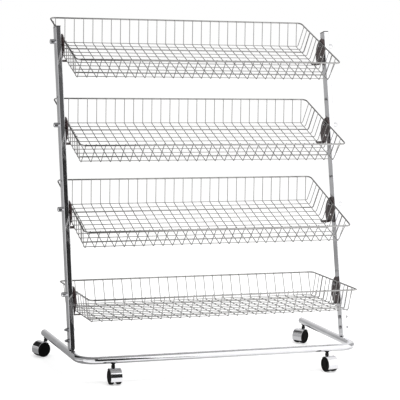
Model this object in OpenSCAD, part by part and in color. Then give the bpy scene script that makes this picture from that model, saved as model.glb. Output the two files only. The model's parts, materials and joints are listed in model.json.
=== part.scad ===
// Mobile display rack with four tilting wire baskets.
// A U-shaped tube base on four twin-wheel casters carries two flat posts that lean back.
// Each basket hangs between the posts on two leaf brackets and is clamped by two hand knobs.
// Millimetres. +X is to the right and +Y to the back, seen from the front, and +Z is up.
// The origin is on the floor, in the middle of the whole rack.

/* [Base] */
// Distance between the centre lines of the two base legs
leg_gap = 1140; // [960:10:1380]
// From the centre line of the front rail to the back end of a leg
leg_length = 548; // [460:2:660]
// Outside diameter of the base tube
tube_d = 28; // [24:1:34]
// Wall of the base tube
tube_wall = 2; // [1:0.5:3]
// Radius of the two front bends, on the tube's centre line
corner_r = 65; // [50:5:90]

/* [Posts] */
// Post section across the rack
post_w = 20; // [16:1:25]
// Post section from front to back
post_d = 40; // [34:1:50]
// Wall of the post
post_wall = 1.5; // [1:0.5:2.5]
// How far a post rises above the top pivot
post_head = 56; // [46:1:80]
// How far the posts lean back, in degrees
post_lean = 13; // [6:0.5:16]
// Where a post meets its leg, measured back from the front rail
post_foot = 124; // [100:2:200]
// Height over which the foot of a post narrows, above its leg
foot_taper = 14; // [8:1:20]
// Width of a post's foot where it meets its leg
foot_tip = 8; // [6:1:12]

/* [Baskets] */
// Height of the lowest pivot along the post
first_pivot = 230; // [215:5:280]
// Distance between two pivots along the post
pivot_pitch = 328; // [270:2:395]
// Forward tilt of the three upper baskets
upper_tilt = 20.5; // [2:0.5:28]
// Forward tilt of the lowest basket
lower_tilt = 0; // [0:0.5:28]
// Most that a basket can tilt forward
tilt_range = 30; // [29:1:32]
// Depth of the rim, on the wire's centre line
rim_depth = 440; // [370:5:530]
// Depth of the floor between the corners of the front and back walls
floor_depth = 358; // [300:2:430]
// Height from the floor wires to the rim
basket_height = 90; // [75:1:108]
// How far each end wall flares out
end_flare = 12; // [10:1:15]
// Height of the rim above the pivot
rim_above_pivot = 13; // [13:1:16]
// How far the pivot lies in front of the basket's middle
pivot_forward = 6; // [6:1:10]
// Wires that run from front to back
cross_wires = 28; // [22:1:34]
// Wires that run along the basket
long_wires = 11; // [9:1:13]
// Diameter of the thin wires
wire_d = 3; // [2.5:0.5:4]
// Diameter of the two heavy wires along the floor
heavy_d = 5; // [4:0.5:6]
// Diameter of the rim wire
rim_d = 6; // [5:0.5:7]

/* [Brackets and knobs] */
// Thickness of the leaf bracket
leaf_t = 3; // [2:0.5:4]
// Width of the leaf bracket
leaf_w = 80; // [76:1:96]
// Diameter of the pivot bolt
bolt_d = 8; // [7:1:9]
// Radius of the arc slot around the pivot
slot_r = 44; // [40:1:46]
// Diameter of the hand knob
knob_d = 19; // [16:1:23]
// Length of the hand knob
knob_length = 17; // [14:1:21]

/* [Casters] */
// Wheel diameter
wheel_d = 60; // [50:1:72]
// Width over both wheels
caster_w = 44; // [40:1:53]
// Distance of the wheel axle behind the swivel axis
caster_trail = 20; // [17:1:23]
// From a front bend's corner to the front caster, along the rail
front_inset = 128; // [100:2:160]
// From a leg's end to the back caster
back_inset = 22; // [20:1:30]
// How the four casters point, front left, front right, back left, back right
caster_turn = [0, 9, -70, -56];

/* [Hidden] */
$fn = 32;
wire_fn = 16;

// Clearances
running = 0.05;   // between a pin and its bore, on the radius
seat = 0.05;      // between two pieces that rest on each other
play = 0.3;       // between two faces that move past each other

// Heights and places of the base
axle_h = wheel_d / 2;
hood_r = axle_h + 0.5;
hood_t = 1.5;
tube_h = wheel_d + tube_d / 2 + 16;
leg_x = leg_gap / 2;

// Places along the posts
post_inner = leg_x - post_w / 2;
post_outer = leg_x + post_w / 2;
pivots = [for (i = [0 : 3]) first_pivot + pivot_pitch * (3 - i)];
post_length = pivots[0] + post_head;
tilts = [upper_tilt, upper_tilt, upper_tilt, lower_tilt];
foot_bolts = [53, 95];
spare_holes = [pivots[1] + pivot_pitch / 3, pivots[2] + pivot_pitch / 3, pivots[3] + 52];
socket_top = foot_bolts[1] + 20;

// Basket sizes, on the centre lines of the wires
boss_t = 5;
leaf_inner = post_inner - play - boss_t - leaf_t;
rim_x = leaf_inner - seat - rim_d / 2;
rim_y = rim_depth / 2;
rim_r = 18;
bend_r = 6;
swell = 0.04;
grip = 0.2;
lap = rim_d / 2 + wire_d / 2 + seat;
floor_x = rim_x - lap - end_flare;
floor_y = floor_depth / 2;
floor_z = rim_above_pivot - basket_height;
long_z = floor_z + wire_d + seat + swell;
front_heavy = long_wires - 2;
back_heavy = 2;

// Each set of wires rests on the other just before the bends
wall_bend = bend_r * tan((90 - wall_lean(rim_y - floor_y, basket_height)) / 2);
end_bend = bend_r * tan((90 - wall_lean(lap + end_flare, basket_height)) / 2);
cross_span = 2 * (floor_x - end_bend - 0.5);
long_span = 2 * (floor_y - wall_bend - 0.5);

// Leaf bracket, in the basket's own frame with the pivot at its origin
leaf_top = 30;
leaf_bottom = floor_z - wire_d / 2 - seat - leaf_t;
leaf_mid = (leaf_top + leaf_bottom) / 2;
leaf_half = (leaf_top - leaf_bottom) / 2;
leaf_sweep = leaf_half + 4;
leaf_r = (leaf_sweep * leaf_sweep + leaf_w * leaf_w / 4) / leaf_w;
leaf_offset = leaf_r - leaf_w / 2;
stop_d = 6;
slot_w = stop_d + 0.8;
knob_flange = 3;
nut_h = 5;
bolt_end = 7;

// The middle of everything, which becomes the origin
function turned_x(a, side) = caster_trail * sin(a)
    + side * ((hood_r + hood_t) * abs(sin(a)) + caster_w / 2 * abs(cos(a)));
knob_end = post_outer + play + knob_flange + knob_length;
left_end = min(-knob_end, -leg_x + turned_x(caster_turn[2], -1));
right_end = max(knob_end, leg_x + turned_x(caster_turn[3], 1));
rim_back = pivots[0] * sin(post_lean) + (pivot_forward + rim_y) * cos(upper_tilt)
    - rim_above_pivot * sin(upper_tilt);
back_end = max(post_foot + rim_back + rim_d / 2, leg_length + 8);
front_end = -caster_trail - hood_r - hood_t;
mid_x = (left_end + right_end) / 2;
mid_y = (front_end + back_end) / 2;

// Places

// Moves the rack so that its middle is the origin
module centred() translate([-mid_x, -mid_y, 0]) children();

// Children drawn in a post's own frame: z runs up the post, y to its back; side is -1 or 1
module on_post(side) centred()
    translate([side * leg_x, post_foot, tube_h]) rotate([-post_lean, 0, 0]) children();

// Children drawn in a basket's pivot frame: the pivot line is x, and z is square to the floor
module on_pivot(i) centred()
    translate([0, post_foot + pivots[i] * sin(post_lean), tube_h + pivots[i] * cos(post_lean)])
    rotate([tilts[i], 0, 0]) children();

// Children drawn in a basket's own frame, which has its middle over y = 0
module in_basket(i) on_pivot(i) translate([0, pivot_forward, 0]) children();

// Children drawn in a caster's own frame: the swivel axis is z and the wheels trail towards -y
module at_caster(i) {
    right = i % 2;
    back = i > 1;
    x = (right == 1 ? 1 : -1) * (back ? leg_x : leg_x - front_inset);
    y = back ? leg_length - back_inset : 0;
    centred() translate([x, y, 0]) rotate([0, 0, caster_turn[i]]) children();
}

// Shared shapes

module round_rect(w, d, r) {
    square([w - 2 * r, d], center = true);
    square([w, d - 2 * r], center = true);
    for (x = [-1, 1], y = [-1, 1]) translate([x * (w / 2 - r), y * (d / 2 - r)]) circle(r);
}

// A round bar along x, from one x to another
module bar_x(d, from, to) translate([from, 0, 0]) rotate([0, 90, 0]) cylinder(d = d, h = to - from);

// A round wire along a flat path of corner points, with the same bend at every inner corner.
// A bend is a hair thicker than the straight runs, which reach a little way into it.
module bent_wire(path, d, r) {
    last = len(path) - 1;
    turn = [for (i = [0 : last]) i == 0 || i == last ? 0 : turn_at(path, i)];
    back = [for (t = turn) r * tan(abs(t) / 2)];
    for (i = [0 : last - 1]) {
        run = path[i + 1] - path[i];
        along = run / norm(run);
        from = back[i] - (i == 0 ? 0 : grip);
        to = norm(run) - back[i + 1] + (i == last - 1 ? 0 : grip);
        translate(path[i] + along * from) rotate(heading(run)) rotate([0, 90, 0])
            cylinder(d = d, h = to - from, $fn = wire_fn);
    }
    for (i = [1 : last - 1]) {
        before = path[i] - path[i - 1];
        after = path[i + 1] - path[i];
        side = turn[i] > 0 ? 1 : -1;
        start = path[i] - before / norm(before) * back[i];
        centre = start + side * r * [-before.y, before.x] / norm(before);
        translate(centre) rotate(side > 0 ? heading(before) - 90 : heading(after) + 90)
            rotate_extrude(angle = abs(turn[i])) translate([r, 0]) circle(d = d + swell, $fn = wire_fn);
    }
}
function heading(v) = atan2(v.y, v.x);
function turn_at(path, i) = let (a = path[i] - path[i - 1], b = path[i + 1] - path[i])
    atan2(a.x * b.y - a.y * b.x, a.x * b.x + a.y * b.y);

// Base

module tube_ring(d) difference() {
    circle(d = d);
    circle(d = d - 2 * tube_wall);
}

module base_rail() color([0.78, 0.78, 0.8]) centred() difference() {
    union() {
        straight = leg_gap - 2 * corner_r;
        translate([-straight / 2, 0, tube_h]) rotate([0, 90, 0]) linear_extrude(straight) tube_ring(tube_d);
        for (side = [-1, 1]) {
            translate([side * (leg_x - corner_r), corner_r, tube_h]) rotate([0, 0, side < 0 ? 180 : 270])
                rotate_extrude(angle = 90) translate([corner_r, 0]) tube_ring(tube_d);
            translate([side * leg_x, leg_length, tube_h]) rotate([90, 0, 0])
                linear_extrude(leg_length - corner_r) tube_ring(tube_d);
        }
    }
    for (side = [-1, 1]) {
        translate([side * (leg_x - front_inset), 0, 0]) cylinder(d = stem_d + 2 * running, h = tube_h);
        translate([side * leg_x, leg_length - back_inset, 0]) cylinder(d = stem_d + 2 * running, h = tube_h);
    }
}

// Domed plug in the open end of a leg
module base_plug(side) color([0.7, 0.7, 0.72]) centred()
    translate([side * leg_x, leg_length + seat, tube_h]) rotate([-90, 0, 0]) {
        dome = 9;
        ball_r = (tube_d * tube_d / 4 + dome * dome) / (2 * dome);
        intersection() {
            translate([0, 0, dome - ball_r]) sphere(ball_r, $fn = 64);
            cylinder(d = tube_d, h = dome + 1);
        }
        translate([0, 0, -8]) cylinder(d = tube_d - 2 * tube_wall - 2 * running, h = 8);
    }

// Stub that is welded to a leg and slides into the post
module post_socket(side) color([0.6, 0.6, 0.62]) difference() {
    on_post(side) difference() {
        fit = 2 * (post_wall + 0.25);
        linear_extrude(socket_top) difference() {
            round_rect(post_w - fit, post_d - fit, 1.5);
            round_rect(post_w - fit - 4, post_d - fit - 4, 1);
        }
        for (s = foot_bolts) translate([0, 0, s]) bar_x(bolt_d + 2 * running, -post_w, post_w);
    }
    foot_cuts(side);
}

// The space that a leg takes, with a seat gap, and a wedge beside it on either side,
// for the foot of a post: a saddle cut and two slanted cuts
module foot_cuts(side) {
    centred() translate([side * leg_x, leg_length, tube_h]) rotate([90, 0, 0])
        cylinder(d = tube_d + 2 * seat, h = leg_length, $fn = 64);
    saddle = sqrt(tube_d * tube_d - foot_tip * foot_tip) / 2;
    for (s = [-1, 1]) on_post(side) rotate([90, 0, 0]) linear_extrude(2 * post_d, center = true)
        polygon([[s * foot_tip / 2, saddle - 1], [s * foot_tip / 2, saddle],
            [s * post_w / 2, saddle + foot_taper], [s * post_w, saddle + foot_taper],
            [s * post_w, saddle - 1]]);
}

// Posts

module post(side) color([0.82, 0.82, 0.84]) {
    difference() {
        on_post(side) difference() {
            linear_extrude(post_length) difference() {
                round_rect(post_w, post_d, 2);
                round_rect(post_w - 2 * post_wall, post_d - 2 * post_wall, 1);
            }
            for (s = concat(pivots, foot_bolts, spare_holes))
                translate([0, 0, s]) bar_x(bolt_d + 2 * running, -post_w, post_w);
        }
        foot_cuts(side);
    }
    // Stop pins that run in the arc slots of the brackets
    on_post(side) for (s = pivots) translate([0, 0, s - slot_r])
        mirror([side > 0 ? 1 : 0, 0, 0])
        bar_x(stop_d, post_w / 2 - post_wall / 2, post_w / 2 + play + boss_t + leaf_t + 2);
}

module post_cap(side) color([0.05, 0.05, 0.05]) on_post(side) translate([0, 0, post_length + seat]) {
    linear_extrude(3.5) round_rect(post_w, post_d, 2);
    inner = 2 * (post_wall + running);
    translate([0, 0, -12]) linear_extrude(12) difference() {
        round_rect(post_w - inner, post_d - inner, 1);
        round_rect(post_w - inner - 4, post_d - inner - 4, 0.5);
    }
}

// Two bolts with round heads inside and cap nuts outside, through post and socket
module foot_bolt_pair(side) color([0.35, 0.35, 0.36]) on_post(side) mirror([side > 0 ? 0 : 1, 0, 0])
    for (s = foot_bolts) translate([0, 0, s]) {
        nut_w = bolt_d + 4;
        bar_x(bolt_d, -post_w / 2 - seat, post_w / 2 + 4);
        bar_x(nut_w + 2, -post_w / 2 - seat - 4, -post_w / 2 - seat);
        bar_x(nut_w + 4, post_w / 2 + seat, post_w / 2 + 2);
        translate([post_w / 2 + 2, 0, 0]) rotate([0, 90, 0]) cylinder(d = nut_w, h = 6, $fn = 6);
        bar_x(nut_w - 2, post_w / 2 + 8, post_w / 2 + 11);
        translate([post_w / 2 + 11, 0, 0]) intersection() {
            sphere(d = nut_w - 2);
            bar_x(nut_w, 0, nut_w);
        }
    }

// Baskets

// Side view of a wall: how far a wire leans out on its way past the inside of the rim
function wall_lean(out, rise) = atan2(out, rise) - asin(lap / norm([out, rise]));

// Where the wire ends, a little above the point at which it passes the rim
function lap_top(floor_half, rim_half, rise) =
    let (out = rim_half - floor_half, lean = wall_lean(out, rise), reach = norm([out, rise]))
    [floor_half, 0] + (sqrt(reach * reach - lap * lap) + 2) * [sin(lean), cos(lean)];

module basket_rim(i) color([0.75, 0.75, 0.77]) in_basket(i) translate([0, 0, rim_above_pivot]) {
    for (s = [-1, 1]) {
        translate([0, s * rim_y, 0]) bar_x(rim_d, -rim_x + rim_r, rim_x - rim_r);
        translate([s * rim_x, rim_y - rim_r, 0]) rotate([90, 0, 0])
            cylinder(d = rim_d, h = rim_depth - 2 * rim_r);
        for (t = [-1, 1]) translate([s * (rim_x - rim_r), t * (rim_y - rim_r), 0])
            rotate(s > 0 ? (t > 0 ? 0 : 270) : (t > 0 ? 90 : 180))
            rotate_extrude(angle = 90) translate([rim_r, 0]) circle(d = rim_d);
    }
}

// Wires that go down the front wall, across the floor and up the back wall
module basket_cross_wires(i) color([0.7, 0.7, 0.72]) in_basket(i) {
    top = lap_top(floor_y, rim_y, basket_height);
    path = [[-top.x, top.y], [-floor_y, 0], [floor_y, 0], [top.x, top.y]];
    pitch = cross_span / (cross_wires - 1);
    for (k = [0 : cross_wires - 1])
        translate([-cross_span / 2 + k * pitch, 0, floor_z]) rotate([90, 0, 90])
            bent_wire(path, wire_d, bend_r);
}

// Wires that go down an end wall, along the floor and up the other end wall
module basket_long_wires(i) color([0.7, 0.7, 0.72]) in_basket(i) {
    pitch = long_span / (long_wires - 1);
    for (k = [0 : long_wires - 1]) {
        d = k == back_heavy || k == front_heavy ? heavy_d : wire_d;
        extra = (d - wire_d) / 2;
        top = lap_top(floor_x - extra, rim_x - extra, rim_above_pivot - long_z - extra);
        translate([0, long_span / 2 - k * pitch, long_z + extra]) rotate([90, 0, 0])
            bent_wire([[-top.x, top.y], [extra - floor_x, 0], [floor_x - extra, 0], [top.x, top.y]],
                d, bend_r);
    }
}

// Leaf of sheet steel between basket and post: a boss at the pivot, an arc slot, a foot under the floor
module bracket(i, side) color([0.12, 0.11, 0.11]) on_pivot(i) mirror([side > 0 ? 0 : 1, 0, 0]) difference() {
    union() {
        translate([leaf_inner, 0, leaf_mid]) rotate([90, 0, 90]) linear_extrude(leaf_t) intersection() {
            translate([leaf_offset, 0]) circle(leaf_r, $fn = 96);
            translate([-leaf_offset, 0]) circle(leaf_r, $fn = 96);
            square([2 * leaf_w, 2 * leaf_half], center = true);
        }
        bar_x(34, leaf_inner + leaf_t, leaf_inner + leaf_t + boss_t);
        foot_from = cross_span / 2 - wire_d;
        translate([foot_from, -8, leaf_bottom]) cube([leaf_inner - foot_from, 16, leaf_t]);
    }
    bar_x(bolt_d + 2 * running, leaf_inner - 1, leaf_inner + leaf_t + boss_t + 1);
    translate([leaf_inner - 1, 0, 0]) rotate([90, 0, 90]) linear_extrude(leaf_t + 2) {
        from = 270 - post_lean - tilt_range;
        to = 270 - post_lean;
        for (a = [from, to]) rotate(a) translate([slot_r, 0]) circle(d = slot_w - 0.2);
        intersection() {
            difference() {
                circle(slot_r + slot_w / 2, $fn = 96);
                circle(slot_r - slot_w / 2, $fn = 96);
            }
            reach = 2 * slot_r;
            polygon([[0, 0], reach * [cos(from), sin(from)], reach * [cos(to), sin(to)]]);
        }
    }
}

// Hand knob on its bolt, with the nut on the far end inside the basket
module knob(i, side) color([0.85, 0.85, 0.87]) on_post(side) translate([0, 0, pivots[i]])
    mirror([side > 0 ? 0 : 1, 0, 0]) {
        face = post_w / 2 + play;
        inside = leaf_inner - leg_x - play;
        bar_x(bolt_d, inside - nut_h - bolt_end, face + 1);
        translate([inside - nut_h, 0, 0]) rotate([0, 90, 0]) cylinder(d = bolt_d + 6, h = nut_h, $fn = 6);
        translate([face, 0, 0]) rotate([0, 90, 0]) difference() {
            rotate_extrude() polygon([[0, 0], [knob_d / 2 - 2, 0], [knob_d / 2 - 2, knob_flange],
                [knob_d / 2, knob_flange + 1.5], [knob_d / 2, knob_flange + knob_length - 2.5],
                [knob_d / 2 - 2.5, knob_flange + knob_length], [0, knob_flange + knob_length]]);
            for (a = [0 : 45 : 315]) rotate(a) translate([knob_d / 2 + 1, 0, knob_flange])
                cylinder(r = 1.8, h = knob_length + 1, $fn = 16);
        }
    }

// Casters

stem_d = 10;
pin_d = 8;
web_w = 13;
axle_d = 6;
hub_w = web_w + 0.4;
collar_d = 15;
collar_h = 9;
collar_from = axle_h + sqrt(pow(hood_r + hood_t, 2) - pow(caster_trail - collar_d / 2, 2)) + play;
pin_from = axle_h + 4;

// Black stem: grip shank in the tube, cone against its underside, collar, and the hood's pin
module caster_stem(i) color([0.07, 0.07, 0.07]) at_caster(i) {
    tube_under = tube_h - tube_d / 2 - seat;
    translate([0, 0, tube_under - 0.5]) cylinder(d = stem_d, h = tube_wall + 12);
    translate([0, 0, tube_under - 5]) cylinder(d1 = stem_d, d2 = stem_d + 8, h = 5);
    translate([0, 0, collar_from + collar_h - 1])
        cylinder(d = stem_d, h = tube_under - 5 - collar_from - collar_h + 1);
    translate([0, 0, collar_from]) cylinder(d = collar_d, h = collar_h);
    translate([0, 0, pin_from]) cylinder(d = pin_d, h = collar_from - pin_from);
}

// Chromed hood: a shell over both treads and the web between the wheels that holds stem and axle
module caster_hood(i) color([0.8, 0.8, 0.82]) at_caster(i) difference() {
    front_edge = 48;
    back_edge = 208;
    union() {
        // The shell is cut off on the stem's side, and runs down behind the wheels
        translate([0, -caster_trail, axle_h]) rotate([90, 0, 90]) {
            rotate([0, 0, front_edge]) rotate_extrude(angle = back_edge - front_edge, $fn = 64)
                translate([hood_r, -caster_w / 2]) square([hood_t, caster_w]);
            rotate([0, 0, front_edge]) rotate_extrude(angle = back_edge - front_edge, $fn = 64)
                translate([0, -web_w / 2]) square([hood_r + hood_t / 2, web_w]);
            translate([0, 0, -hub_w / 2]) cylinder(r = axle_d, h = hub_w);
        }
        translate([0, 0, axle_h - 4]) cylinder(d = web_w - 1, h = collar_from - play - axle_h + 4);
        translate([-web_w / 2, -caster_trail, axle_h - 4]) cube([web_w, caster_trail, 8]);
    }
    translate([0, 0, pin_from - 1]) cylinder(d = pin_d + 2 * running, h = wheel_d);
    translate([0, -caster_trail, axle_h]) bar_x(axle_d, -caster_w, caster_w);
}

module caster_axle(i) color([0.6, 0.6, 0.62]) at_caster(i)
    translate([0, -caster_trail, axle_h]) bar_x(axle_d, -caster_w / 2 + 4, caster_w / 2 - 4);

// One wheel, with a rounded tread, a dished outer face and a blind bore from the inside
module caster_wheel(i, side) color([0.04, 0.04, 0.04]) at_caster(i)
    translate([0, -caster_trail, axle_h]) mirror([side > 0 ? 0 : 1, 0, 0]) rotate([0, 90, 0]) {
        inner = web_w / 2 + 0.5;
        outer = caster_w / 2;
        r = wheel_d / 2;
        edge = 3;
        difference() {
            rotate_extrude($fn = 64) difference() {
                union() {
                    translate([0, inner]) square([r - edge, outer - inner]);
                    translate([0, inner + edge]) square([r, outer - inner - 2 * edge]);
                    for (z = [inner + edge, outer - edge]) translate([r - edge, z]) circle(edge);
                }
                translate([r * 0.42, outer - 1.5]) square([r * 0.36, 2]);
                translate([r * 0.4, inner - 1]) square([r * 0.44, 5]);
            }
            translate([0, 0, inner - 1])
                cylinder(d = axle_d + 2 * running, h = caster_w / 2 - 4 - inner + 1.3);
        }
    }

base_rail();
base_plug(-1);  // base_plug_left
base_plug(1);  // base_plug_right
post_socket(-1);  // post_socket_left
post_socket(1);  // post_socket_right
post(-1);  // post_left
post(1);  // post_right
post_cap(-1);  // post_cap_left
post_cap(1);  // post_cap_right
foot_bolt_pair(-1);  // foot_bolts_left
foot_bolt_pair(1);  // foot_bolts_right
caster_stem(0);  // caster_fl_stem
caster_hood(0);  // caster_fl_hood
caster_axle(0);  // caster_fl_axle
caster_wheel(0, -1);  // caster_fl_wheel_left
caster_wheel(0, 1);  // caster_fl_wheel_right
caster_stem(1);  // caster_fr_stem
caster_hood(1);  // caster_fr_hood
caster_axle(1);  // caster_fr_axle
caster_wheel(1, -1);  // caster_fr_wheel_left
caster_wheel(1, 1);  // caster_fr_wheel_right
caster_stem(2);  // caster_bl_stem
caster_hood(2);  // caster_bl_hood
caster_axle(2);  // caster_bl_axle
caster_wheel(2, -1);  // caster_bl_wheel_left
caster_wheel(2, 1);  // caster_bl_wheel_right
caster_stem(3);  // caster_br_stem
caster_hood(3);  // caster_br_hood
caster_axle(3);  // caster_br_axle
caster_wheel(3, -1);  // caster_br_wheel_left
caster_wheel(3, 1);  // caster_br_wheel_right
basket_rim(0);  // basket_1_rim
basket_cross_wires(0);  // basket_1_cross_wires
basket_long_wires(0);  // basket_1_long_wires
bracket(0, -1);  // bracket_1_left
bracket(0, 1);  // bracket_1_right
basket_rim(1);  // basket_2_rim
basket_cross_wires(1);  // basket_2_cross_wires
basket_long_wires(1);  // basket_2_long_wires
bracket(1, -1);  // bracket_2_left
bracket(1, 1);  // bracket_2_right
basket_rim(2);  // basket_3_rim
basket_cross_wires(2);  // basket_3_cross_wires
basket_long_wires(2);  // basket_3_long_wires
bracket(2, -1);  // bracket_3_left
bracket(2, 1);  // bracket_3_right
basket_rim(3);  // basket_4_rim
basket_cross_wires(3);  // basket_4_cross_wires
basket_long_wires(3);  // basket_4_long_wires
bracket(3, -1);  // bracket_4_left
bracket(3, 1);  // bracket_4_right
knob(0, -1);  // knob_1_left
knob(0, 1);  // knob_1_right
knob(1, -1);  // knob_2_left
knob(1, 1);  // knob_2_right
knob(2, -1);  // knob_3_left
knob(2, 1);  // knob_3_right
knob(3, -1);  // knob_4_left
knob(3, 1);  // knob_4_right
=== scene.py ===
# A mobile display rack with four wire baskets, in a plain white studio.
# Metres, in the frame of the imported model: +X right, +Y back, +Z up, the floor at z = 0.
import json
import math

import bpy
from mathutils import Euler, Matrix, Vector


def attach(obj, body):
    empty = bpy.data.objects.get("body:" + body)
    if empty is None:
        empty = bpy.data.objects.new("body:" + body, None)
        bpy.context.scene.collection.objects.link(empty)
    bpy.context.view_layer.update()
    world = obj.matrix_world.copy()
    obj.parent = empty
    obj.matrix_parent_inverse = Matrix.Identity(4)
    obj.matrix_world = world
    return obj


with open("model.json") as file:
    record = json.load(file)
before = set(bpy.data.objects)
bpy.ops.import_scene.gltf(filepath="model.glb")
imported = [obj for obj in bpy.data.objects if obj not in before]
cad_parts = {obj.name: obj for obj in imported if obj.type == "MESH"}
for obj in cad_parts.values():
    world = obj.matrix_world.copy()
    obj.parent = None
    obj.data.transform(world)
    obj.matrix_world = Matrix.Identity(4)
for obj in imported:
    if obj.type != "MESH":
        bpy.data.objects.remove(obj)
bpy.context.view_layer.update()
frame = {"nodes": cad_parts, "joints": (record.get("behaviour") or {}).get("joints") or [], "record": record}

MM = 0.001

# Camera, fitted to the photograph: its lens for an image of 400 pixels a side, and its turns in degrees
IMAGE_SIDE = 400
FOCAL_PIXELS = 1564.5
SENSOR = 36.0
CAMERA_AT = (-2.1179, -5.8247, 1.3854)
CAMERA_YAW = 20.025
CAMERA_DOWN = 6.709
CAMERA_ROLL = 1.364
CLIP = (0.1, 100.0)


def make_camera():
    data = bpy.data.cameras.new("camera")
    data.sensor_width = SENSOR
    data.lens = SENSOR * FOCAL_PIXELS / IMAGE_SIDE
    data.clip_start, data.clip_end = CLIP
    camera = bpy.data.objects.new("camera", data)
    aim = Euler((math.radians(90 - CAMERA_DOWN), 0, math.radians(-CAMERA_YAW))).to_matrix()
    turn = aim @ Matrix.Rotation(math.radians(CAMERA_ROLL), 3, "Z")
    camera.matrix_world = Matrix.Translation(CAMERA_AT) @ turn.to_4x4()
    bpy.context.scene.collection.objects.link(camera)
    bpy.context.scene.camera = camera


# Materials

# Noise mostly lies between these, and is spread from there over what it drives
NOISE_RANGE = (0.3, 0.7)


def new_material(name):
    material = bpy.data.materials.new(name)
    material.use_nodes = True
    tree = material.node_tree
    return material, tree, tree.nodes["Principled BSDF"]


class Shader:
    """A material with one Principled shader, and short calls for the nodes that feed it."""

    def __init__(self, name, colour, roughness, **sockets):
        self.material, self.tree, self.bsdf = new_material(name)
        self.bsdf.inputs["Base Color"].default_value = (*colour, 1)
        self.bsdf.inputs["Roughness"].default_value = roughness
        for socket, value in sockets.items():
            self.bsdf.inputs[socket.replace("_", " ")].default_value = value
        self.place = self.tree.nodes.new("ShaderNodeTexCoord").outputs["Object"]

    def link(self, out, into):
        self.tree.links.new(out, into)

    def noise(self, scale, detail):
        made = self.tree.nodes.new("ShaderNodeTexNoise")
        made.inputs["Scale"].default_value = scale
        made.inputs["Detail"].default_value = detail
        self.link(self.place, made.inputs["Vector"])
        return made.outputs["Fac"]

    def spread(self, noise, low, high):
        made = self.tree.nodes.new("ShaderNodeMapRange")
        made.inputs["From Min"].default_value, made.inputs["From Max"].default_value = NOISE_RANGE
        made.inputs["To Min"].default_value, made.inputs["To Max"].default_value = low, high
        self.link(noise, made.inputs["Value"])
        return made.outputs["Result"]

    def colours(self, noise, low, high):
        share = self.spread(noise, 0.0, 1.0)
        made = self.tree.nodes.new("ShaderNodeMix")
        made.data_type = "RGBA"
        made.inputs["A"].default_value = (*low, 1)
        made.inputs["B"].default_value = (*high, 1)
        self.link(share, made.inputs["Factor"])
        self.link(made.outputs["Result"], self.bsdf.inputs["Base Color"])

    def rough(self, noise, low, high):
        self.link(self.spread(noise, low, high), self.bsdf.inputs["Roughness"])

    def bump(self, noise, height):
        made = self.tree.nodes.new("ShaderNodeBump")
        made.inputs["Strength"].default_value = 1.0
        made.inputs["Distance"].default_value = height
        self.link(noise, made.inputs["Height"])
        self.link(made.outputs["Normal"], self.bsdf.inputs["Normal"])


def chrome(name, light, dark, roughness):
    """Bright plating: faint clouds in its colour and gloss, and a trace of waves from the metal below."""
    made = Shader(name, light, roughness, Metallic=1.0)
    made.colours(made.noise(scale=14.0, detail=5.0), dark, light)
    made.rough(made.noise(scale=60.0, detail=4.0), low=roughness * 0.7, high=roughness * 1.5)
    made.bump(made.noise(scale=220.0, detail=2.0), height=0.01 * MM)
    return made.material


def plain_steel(name, light, dark, roughness):
    """Zinc plated or drawn steel with a soft, uneven sheen."""
    made = Shader(name, light, roughness, Metallic=1.0)
    made.colours(made.noise(scale=90.0, detail=5.0), dark, light)
    made.rough(made.noise(scale=300.0, detail=3.0), low=roughness * 0.8, high=roughness * 1.25)
    made.bump(made.noise(scale=900.0, detail=2.0), height=0.03 * MM)
    return made.material


def paint(name, light, dark, roughness):
    """Dark stoved paint with the slight orange peel that it dries to."""
    made = Shader(name, light, roughness, Coat_Weight=0.15, Coat_Roughness=0.2)
    made.colours(made.noise(scale=40.0, detail=4.0), dark, light)
    made.rough(made.noise(scale=120.0, detail=3.0), low=roughness * 0.8, high=roughness * 1.2)
    made.bump(made.noise(scale=1400.0, detail=2.0), height=0.03 * MM)
    return made.material


def plastic(name, light, dark, roughness, grain, shine=0.1):
    """Moulded plastic with a fine, even grain."""
    made = Shader(name, light, roughness, Specular_IOR_Level=shine)
    made.colours(made.noise(scale=50.0, detail=3.0), dark, light)
    made.rough(made.noise(scale=200.0, detail=3.0), low=roughness * 0.85, high=roughness * 1.2)
    made.bump(made.noise(scale=grain, detail=2.0), height=0.02 * MM)
    return made.material


# The finish of each slot: its kind, the lighter and darker colour that it clouds between, its roughness,
# and on plastic the scale of its grain and, where it isn't the usual one, its shine
FINISHES = {
    "chrome_tube": (chrome, (0.80, 0.80, 0.82), (0.70, 0.70, 0.72), 0.08),
    # chrome_wire is set far darker than the tube's chrome: painted shade that dims the wires
    "chrome_wire": (chrome, (0.42, 0.415, 0.41), (0.33, 0.325, 0.32), 0.12),
    "knob_chrome": (chrome, (0.84, 0.84, 0.86), (0.74, 0.74, 0.76), 0.10),
    "hood_chrome": (chrome, (0.82, 0.82, 0.84), (0.72, 0.72, 0.74), 0.07),
    "socket_steel": (plain_steel, (0.60, 0.60, 0.62), (0.48, 0.48, 0.50), 0.30),
    "bolt_steel": (plain_steel, (0.42, 0.42, 0.43), (0.30, 0.30, 0.31), 0.30),
    "plug_grey": (plastic, (0.62, 0.62, 0.63), (0.55, 0.55, 0.56), 0.35, 1500.0),
    "black_plastic": (plastic, (0.020, 0.020, 0.021), (0.012, 0.012, 0.013), 0.38, 1800.0),
    "bracket_dark": (paint, (0.080, 0.050, 0.050), (0.040, 0.026, 0.026), 0.35),
    "wheel_black": (plastic, (0.006, 0.006, 0.006), (0.003, 0.003, 0.003), 0.40, 1200.0, 0.04),
}
MATERIALS = {slot: kind(slot, *values) for slot, (kind, *values) in FINISHES.items()}


def finish_nodes():
    """Gives every node of the frame the material of its slot."""
    for part in frame["record"]["subparts"]:
        mesh = frame["nodes"][part["node"]].data
        mesh.materials.clear()
        mesh.materials.append(MATERIALS[part["material_slot"]])


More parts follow.
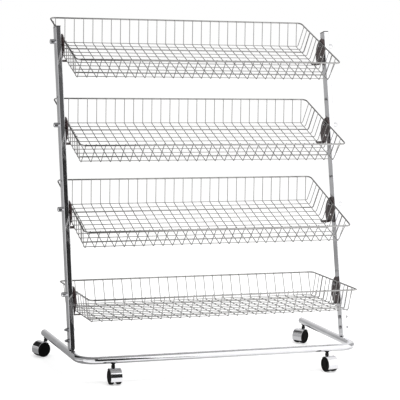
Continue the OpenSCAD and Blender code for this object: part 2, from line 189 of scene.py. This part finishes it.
# Welds: a bead wherever two wires of a basket cross, and wherever one passes the rim.
# Sizes are in millimetres: the diameters of the wires, and the rim, floor and walls on their centre
# lines. A basket's own frame has x along it, z square to its floor, and its origin halfway between the
# two pivots.

BASKETS = 4
CROSS_WIRES, LONG_WIRES = 28, 11
WIRE, RIM_WIRE = 3.0, 6.0
SEAT = 0.05
RIM_HALF_LENGTH, RIM_HALF_DEPTH = 548.65, 220.0
FLOOR_HALF_DEPTH = 179.0
BASKET_HEIGHT = 90.0
END_FLARE = 12.0
WIRE_BEND, BEND_CLEAR = 6.0, 0.5
RIM_ABOVE_PIVOT = 13.0
PIVOT_FORWARD = 6.0

# From the rim to the wires that pass it, and how far out from the floor's corners the rim lies
LAP = (RIM_WIRE + WIRE) / 2 + SEAT
END_OUT = LAP + END_FLARE
SIDE_OUT = RIM_HALF_DEPTH - FLOOR_HALF_DEPTH
FLOOR_HALF_LENGTH = RIM_HALF_LENGTH - END_OUT

# A bead is a pole, rings of a height and a width, and a pole, all as shares of its radius, which varies
# a little from one bead to the next
BEAD_RADIUS = 1.6
BEAD_POLE = 0.95
BEAD_RINGS = ((-0.68, 0.62), (0.0, 1.0), (0.68, 0.62))
BEAD_SIDES = 8
BEAD_VARIES, BEAD_STEP = 0.12, 2.4


def wall_lean(out, rise):
    """How far a wall's wires lean out on their way past the inside of the rim, in radians."""
    return math.atan2(out, rise) - math.asin(LAP / math.hypot(out, rise))


def spaced(count, floor_half, out):
    """Evenly spaced wires across a floor. The outer two lie just before the bends of the walls."""
    bend = WIRE_BEND * math.tan((math.pi / 2 - wall_lean(out, BASKET_HEIGHT)) / 2)
    span = 2 * (floor_half - bend - BEND_CLEAR)
    return [span * (k / (count - 1) - 0.5) for k in range(count)]


def rim_weld(lean):
    """From the rim's centre line to the weld of a wire that leans: how far in and how far up."""
    reach = (RIM_WIRE + SEAT) / 2
    return reach * math.cos(lean), reach * math.sin(lean)


def weld_places():
    across = spaced(CROSS_WIRES, FLOOR_HALF_LENGTH, END_OUT)
    along = spaced(LONG_WIRES, FLOOR_HALF_DEPTH, SIDE_OUT)
    crossing = RIM_ABOVE_PIVOT - BASKET_HEIGHT + WIRE / 2 + SEAT
    side_in, side_up = rim_weld(wall_lean(SIDE_OUT, BASKET_HEIGHT))
    end_in, end_up = rim_weld(wall_lean(END_OUT, BASKET_HEIGHT - WIRE - SEAT))
    places = [(x, y, crossing) for x in across for y in along]
    for side in (-1, 1):
        places += [(x, side * (RIM_HALF_DEPTH - side_in), RIM_ABOVE_PIVOT + side_up) for x in across]
        places += [(side * (RIM_HALF_LENGTH - end_in), y, RIM_ABOVE_PIVOT + end_up) for y in along]
    return [Vector((x, y + PIVOT_FORWARD, z)) for x, y, z in places]


def bead_shape():
    """Corners and faces of a bead of radius 1."""
    corners = [Vector((0, 0, -BEAD_POLE))]
    for height, width in BEAD_RINGS:
        for k in range(BEAD_SIDES):
            angle = 2 * math.pi * k / BEAD_SIDES
            corners.append(Vector((width * math.cos(angle), width * math.sin(angle), height)))
    corners.append(Vector((0, 0, BEAD_POLE)))
    last = len(corners) - 1
    rings = [range(start, start + BEAD_SIDES) for start in range(1, last, BEAD_SIDES)]
    faces = []
    for k in range(BEAD_SIDES):
        n = (k + 1) % BEAD_SIDES
        faces.append((0, rings[0][n], rings[0][k]))
        faces += [(low[k], low[n], high[n], high[k]) for low, high in zip(rings, rings[1:])]
        faces.append((last, rings[-1][k], rings[-1][n]))
    return corners, faces


def add_welds(number, tilt_joint):
    """The beads of one basket. Its joint's low limit is level, and at rest it is tilted from there."""
    tilt = math.radians(-tilt_joint["range_deg"][0])
    hang = Matrix.Translation(tilt_joint["pos_m"]) @ Matrix.Rotation(tilt, 4, "X") @ Matrix.Scale(MM, 4)
    shape, shape_faces = bead_shape()
    corners, faces = [], []
    for count, place in enumerate(weld_places()):
        size = BEAD_RADIUS * (1 + BEAD_VARIES * math.sin(BEAD_STEP * count + number))
        faces += [[len(corners) + n for n in face] for face in shape_faces]
        corners += [hang @ (place + size * corner) for corner in shape]
    mesh = bpy.data.meshes.new(f"basket_{number}_welds")
    mesh.from_pydata(corners, [], faces)
    mesh.polygons.foreach_set("use_smooth", [True] * len(mesh.polygons))
    mesh.materials.append(MATERIALS["chrome_wire"])
    welds = bpy.data.objects.new(f"basket_{number}_welds", mesh)
    bpy.context.scene.collection.objects.link(welds)
    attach(welds, f"basket_{number}")


def make_welds():
    joints = {joint["name"]: joint for joint in frame["joints"]}
    for number in range(1, BASKETS + 1):
        add_welds(number, joints[f"basket_{number}_tilt"])


# Studio

QUAD = [(0, 1, 2, 3)]
WHITE, BLACK = (1, 1, 1, 1), (0, 0, 0, 1)
WORLD_LIGHT = 0.72
FLOOR_GREY = (0.80, 0.80, 0.80, 1)
FLOOR_ROUGHNESS = 0.9
FLOOR_LIFT = 0.42
FLOOR_HALF = 30.0
LAMP_AT, LAMP_AIM = (0.6, -1.2, 4.2), (0, 0, 0.6)
LAMP_SIZE = (3.2, 2.4)
LAMP_POWER = 70


def seen_white(tree):
    """1 for the rays that should meet plain white: the camera's, and those seen in metal or glass."""
    path = tree.nodes.new("ShaderNodeLightPath")
    seen = path.outputs["Is Camera Ray"]
    for ray in ("Is Glossy Ray", "Is Transmission Ray"):
        either = tree.nodes.new("ShaderNodeMath")
        either.operation = "MAXIMUM"
        tree.links.new(seen, either.inputs[0])
        tree.links.new(path.outputs[ray], either.inputs[1])
        seen = either.outputs[0]
    return seen


def make_world():
    world = bpy.data.worlds.new("world")
    bpy.context.scene.world = world
    world.use_nodes = True
    tree = world.node_tree
    light = tree.nodes["Background"]
    light.inputs["Color"].default_value = WHITE
    light.inputs["Strength"].default_value = WORLD_LIGHT
    white = tree.nodes.new("ShaderNodeBackground")
    white.inputs["Color"].default_value = WHITE
    white.inputs["Strength"].default_value = 1.0
    mix = tree.nodes.new("ShaderNodeMixShader")
    tree.links.new(seen_white(tree), mix.inputs["Fac"])
    tree.links.new(light.outputs[0], mix.inputs[1])
    tree.links.new(white.outputs[0], mix.inputs[2])
    tree.links.new(mix.outputs[0], tree.nodes["World Output"].inputs["Surface"])


def add_sheet(name, corners, faces, material):
    """A floor or card, which isn't part of the rack."""
    mesh = bpy.data.meshes.new(name)
    mesh.from_pydata(corners, [], faces)
    mesh.materials.append(material)
    sheet = bpy.data.objects.new(name, mesh)
    bpy.context.scene.collection.objects.link(sheet)
    return sheet


def make_floor():
    """A light grey floor, lifted to white for the rays that should meet white."""
    material, tree, bsdf = new_material("floor_white")
    bsdf.inputs["Base Color"].default_value = FLOOR_GREY
    bsdf.inputs["Roughness"].default_value = FLOOR_ROUGHNESS
    bsdf.inputs["Emission Color"].default_value = WHITE
    lift = tree.nodes.new("ShaderNodeMath")
    lift.operation = "MULTIPLY"
    lift.inputs[1].default_value = FLOOR_LIFT
    tree.links.new(seen_white(tree), lift.inputs[0])
    tree.links.new(lift.outputs[0], bsdf.inputs["Emission Strength"])
    half = FLOOR_HALF
    corners = [(-half, -half, 0), (half, -half, 0), (half, half, 0), (-half, half, 0)]
    add_sheet("floor", corners, QUAD, material)


def make_lamp():
    data = bpy.data.lights.new("lamp_top", "AREA")
    data.shape = "RECTANGLE"
    data.size, data.size_y = LAMP_SIZE
    data.energy = LAMP_POWER
    lamp = bpy.data.objects.new("lamp_top", data)
    lamp.location = LAMP_AT
    lamp.rotation_euler = (Vector(LAMP_AIM) - Vector(LAMP_AT)).to_track_quat("-Z", "Y").to_euler()
    lamp.visible_camera = False
    lamp.visible_glossy = False
    bpy.context.scene.collection.objects.link(lamp)


# Painted reflections: glowing cards that show only in reflections, set out like a studio room. Each has
# two shades of glow, and goes from the first to the second along x.

# In front of the rack, dark cards paint a dark gap into the chrome's reflections, between the white world
# and the glowing card at its right, as far along x as it shows in the chrome. It starts on the floor
# before the rack, and is darkest below an edge that slants from one height at the left to another at the
# right.
FRONT_Y = -2.15
GAP = (-0.55, 0.33)
GAP_FOOT, GAP_FOOT_Y = (-0.65, 0.02), -0.55
GAP_LIFT = 0.004
GAP_EDGE = (2.2, 1.5)
GAP_TOP = 3.0
GAP_DARKEST_REFLECTION, GAP_DARK_REFLECTION = (0.03, 0.03), (0.12, 0.12)

# The glowing card right of the gap, a painted highlight, and the two grey painted reflections at the sides
RIGHT_END = (3.0, -0.6)
RIGHT_TOP = 2.8
RIGHT_HIGHLIGHT_GLOW = (1.5, 1.5)
SIDE_X, SIDE_Y, SIDE_TOP = 4.2, (-1.6, 3.0), 3.2
SIDE_REFLECTION_SHADES = (0.5, 0.5)

# The corners of the painted-reflection cards where a ceiling, back wall and floor would be, in side view, as
# y and z
CEILING_FRONT, CEILING_BACK = (-3.6, 3.2), (1.2, 3.2)
WALL_MIDDLE, WALL_FOOT = (3.0, 1.6), (3.0, 0.0)
FLOOR_BACK, FLOOR_MIDDLE, FLOOR_FRONT = (3.0, 0.003), (0.08, 0.003), (-0.33, 0.003)

# The painted-reflection cards between them: half their length along x, two corners, their shades, and
# where along x the shades start and end
LONG_REFLECTION_CARDS = (
    ("reflection_above", 4.0, CEILING_FRONT, CEILING_BACK, (0.28, 1.10), (0.1, 2.6)),
    ("reflection_back_high", 4.0, CEILING_BACK, WALL_MIDDLE, (0.02, 1.00), (-1.0, 1.1)),
    ("reflection_back_low", 4.0, WALL_MIDDLE, WALL_FOOT, (0.40, 0.90), (-1.2, 1.2)),
    ("reflection_floor_back", 4.0, FLOOR_BACK, FLOOR_MIDDLE, (0.34, 0.95), (-0.6, 1.2)),
    ("reflection_floor_under", 0.75, FLOOR_MIDDLE, FLOOR_FRONT, (0.30, 0.85), (-0.55, 0.30)),
)


def make_reflection_card(name, corners, shades, over=(-1.0, 1.0), faces=QUAD):
    """A glowing card that only shows in reflections: a painted reflection. Its shade changes over a stretch
    of x, if at all.
    """
    material, tree, bsdf = new_material(name)
    bsdf.inputs["Base Color"].default_value = BLACK
    bsdf.inputs["Roughness"].default_value = 1.0
    bsdf.inputs["Specular IOR Level"].default_value = 0.0
    bsdf.inputs["Emission Color"].default_value = WHITE
    place = tree.nodes.new("ShaderNodeTexCoord")
    split = tree.nodes.new("ShaderNodeSeparateXYZ")
    tree.links.new(place.outputs["Object"], split.inputs[0])
    fade = tree.nodes.new("ShaderNodeMapRange")
    fade.inputs["From Min"].default_value, fade.inputs["From Max"].default_value = over
    fade.inputs["To Min"].default_value, fade.inputs["To Max"].default_value = shades
    tree.links.new(split.outputs["X"], fade.inputs["Value"])
    tree.links.new(fade.outputs["Result"], bsdf.inputs["Emission Strength"])
    card = add_sheet(name, corners, faces, material)
    card.visible_camera = False
    card.visible_diffuse = False
    card.visible_shadow = False
    card.visible_transmission = False


def upright(start, end, top):
    """Corners of an upright card that stands on the floor from one point (x, y) to another."""
    return [(*start, 0), (*end, 0), (*end, top), (*start, top)]


def make_dark_reflection_gap():
    y = FRONT_Y
    (left, right), (foot_left, foot_right), (edge_left, edge_right) = GAP, GAP_FOOT, GAP_EDGE
    foot = [(foot_left, GAP_FOOT_Y, GAP_LIFT), (foot_right, GAP_FOOT_Y, GAP_LIFT)]
    bottom = [(right, y, GAP_LIFT), (left, y, GAP_LIFT)]
    edge = [(right, y, edge_right), (left, y, edge_left)]
    top = [(right, y, GAP_TOP), (left, y, GAP_TOP)]
    make_reflection_card("reflection_gap_low", foot + bottom + edge, GAP_DARKEST_REFLECTION, faces=[(0, 1, 2, 3), (3, 2, 4, 5)])
    make_reflection_card("reflection_gap_high", edge[::-1] + top, GAP_DARK_REFLECTION)


def make_painted_reflections():
    make_dark_reflection_gap()
    make_reflection_card("reflection_glow_right", upright((GAP[1], FRONT_Y), RIGHT_END, RIGHT_TOP), RIGHT_HIGHLIGHT_GLOW)
    for name, half, start, end, shades, over in LONG_REFLECTION_CARDS:
        make_reflection_card(name, [(-half, *start), (half, *start), (half, *end), (-half, *end)], shades, over)
    for name, x in (("reflection_side_left", -SIDE_X), ("reflection_side_right", SIDE_X)):
        make_reflection_card(name, upright((x, SIDE_Y[0]), (x, SIDE_Y[1]), SIDE_TOP), SIDE_REFLECTION_SHADES)


def make_studio():
    make_world()
    make_floor()
    make_painted_reflections()
    make_lamp()
    bpy.context.scene.view_settings.view_transform = "Standard"


make_camera()
finish_nodes()
make_welds()
make_studio()
